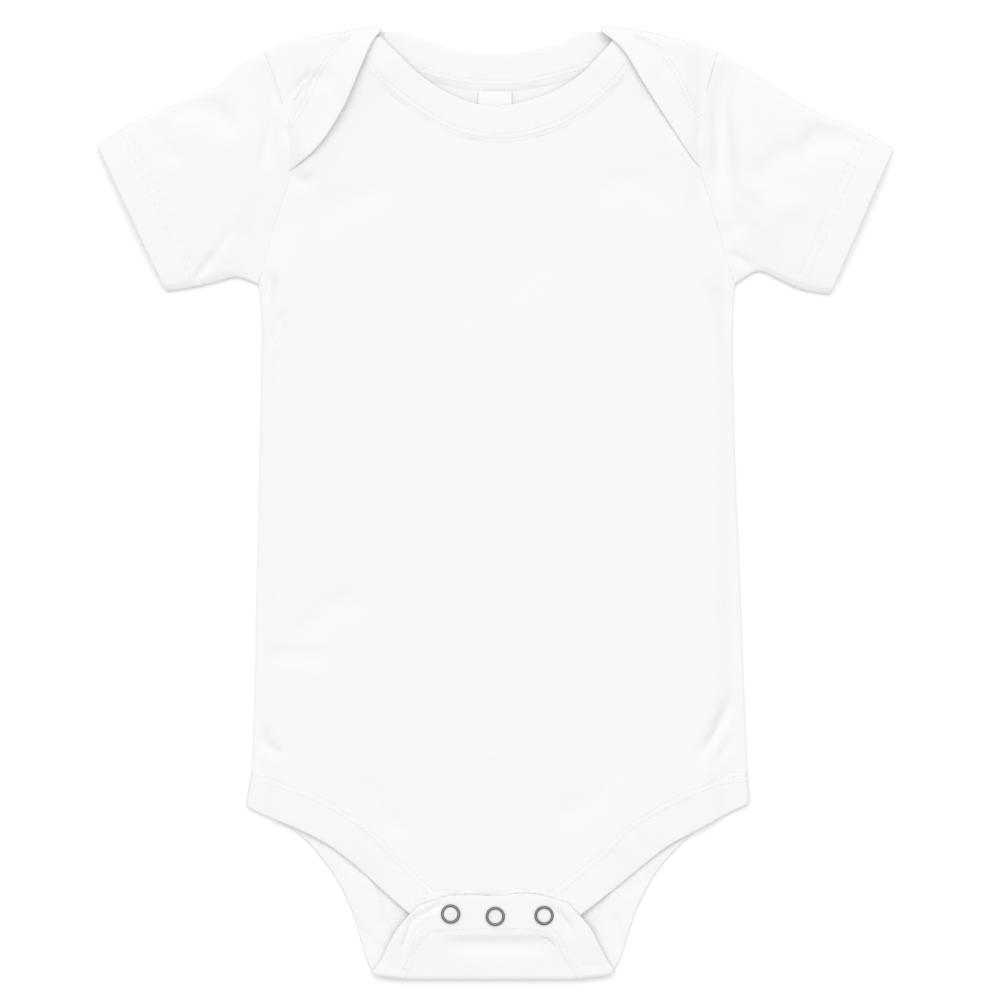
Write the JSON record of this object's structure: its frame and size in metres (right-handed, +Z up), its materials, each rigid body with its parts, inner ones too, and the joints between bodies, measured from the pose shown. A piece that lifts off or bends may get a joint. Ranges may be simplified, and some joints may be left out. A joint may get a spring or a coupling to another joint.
{
  "type": "baby bodysuit (onesie), short sleeves, lapped shoulders, snapped crotch, laid flat",
  "caption": "White short-sleeved baby bodysuit in cotton jersey with lap shoulders, bound neck and leg openings and a snapped crotch flap, laid flat.",
  "frame": {"origin": "middle of the outline's box, on the surface that the bodysuit lies on", "axes": "+X to the wearer's left, +Y from the crotch to the neck, +Z up from the surface through the front"},
  "size_m": [0.3672, 0.4391, 0.0083],
  "materials": {
    "jersey": "fine white cotton jersey, matt, soft",
    "binding": "folded white cotton rib binding, matt",
    "label": "smooth white woven satin tape, bare",
    "snap_metal": "polished nickel-plated ring snap"
  },
  "bodies": {
    "root": {"back_panel": "jersey", "front_panel": "jersey", "sleeve_right": "jersey", "sleeve_left": "jersey", "neckband_back": "binding", "neckband_front": "binding", "leg_band_right": "binding", "leg_band_left": "binding", "flap_placket": "binding", "front_placket": "binding", "neck_label": "label", "snap_ring_right": "snap_metal", "snap_ring_middle": "snap_metal", "snap_ring_left": "snap_metal", "snap_socket_right": "snap_metal", "snap_socket_middle": "snap_metal", "snap_socket_left": "snap_metal", "snap_stud_right": "snap_metal", "snap_stud_middle": "snap_metal", "snap_stud_left": "snap_metal", "snap_back_ring_right": "snap_metal", "snap_back_ring_middle": "snap_metal", "snap_back_ring_left": "snap_metal"}
  },
  "joints": []
}
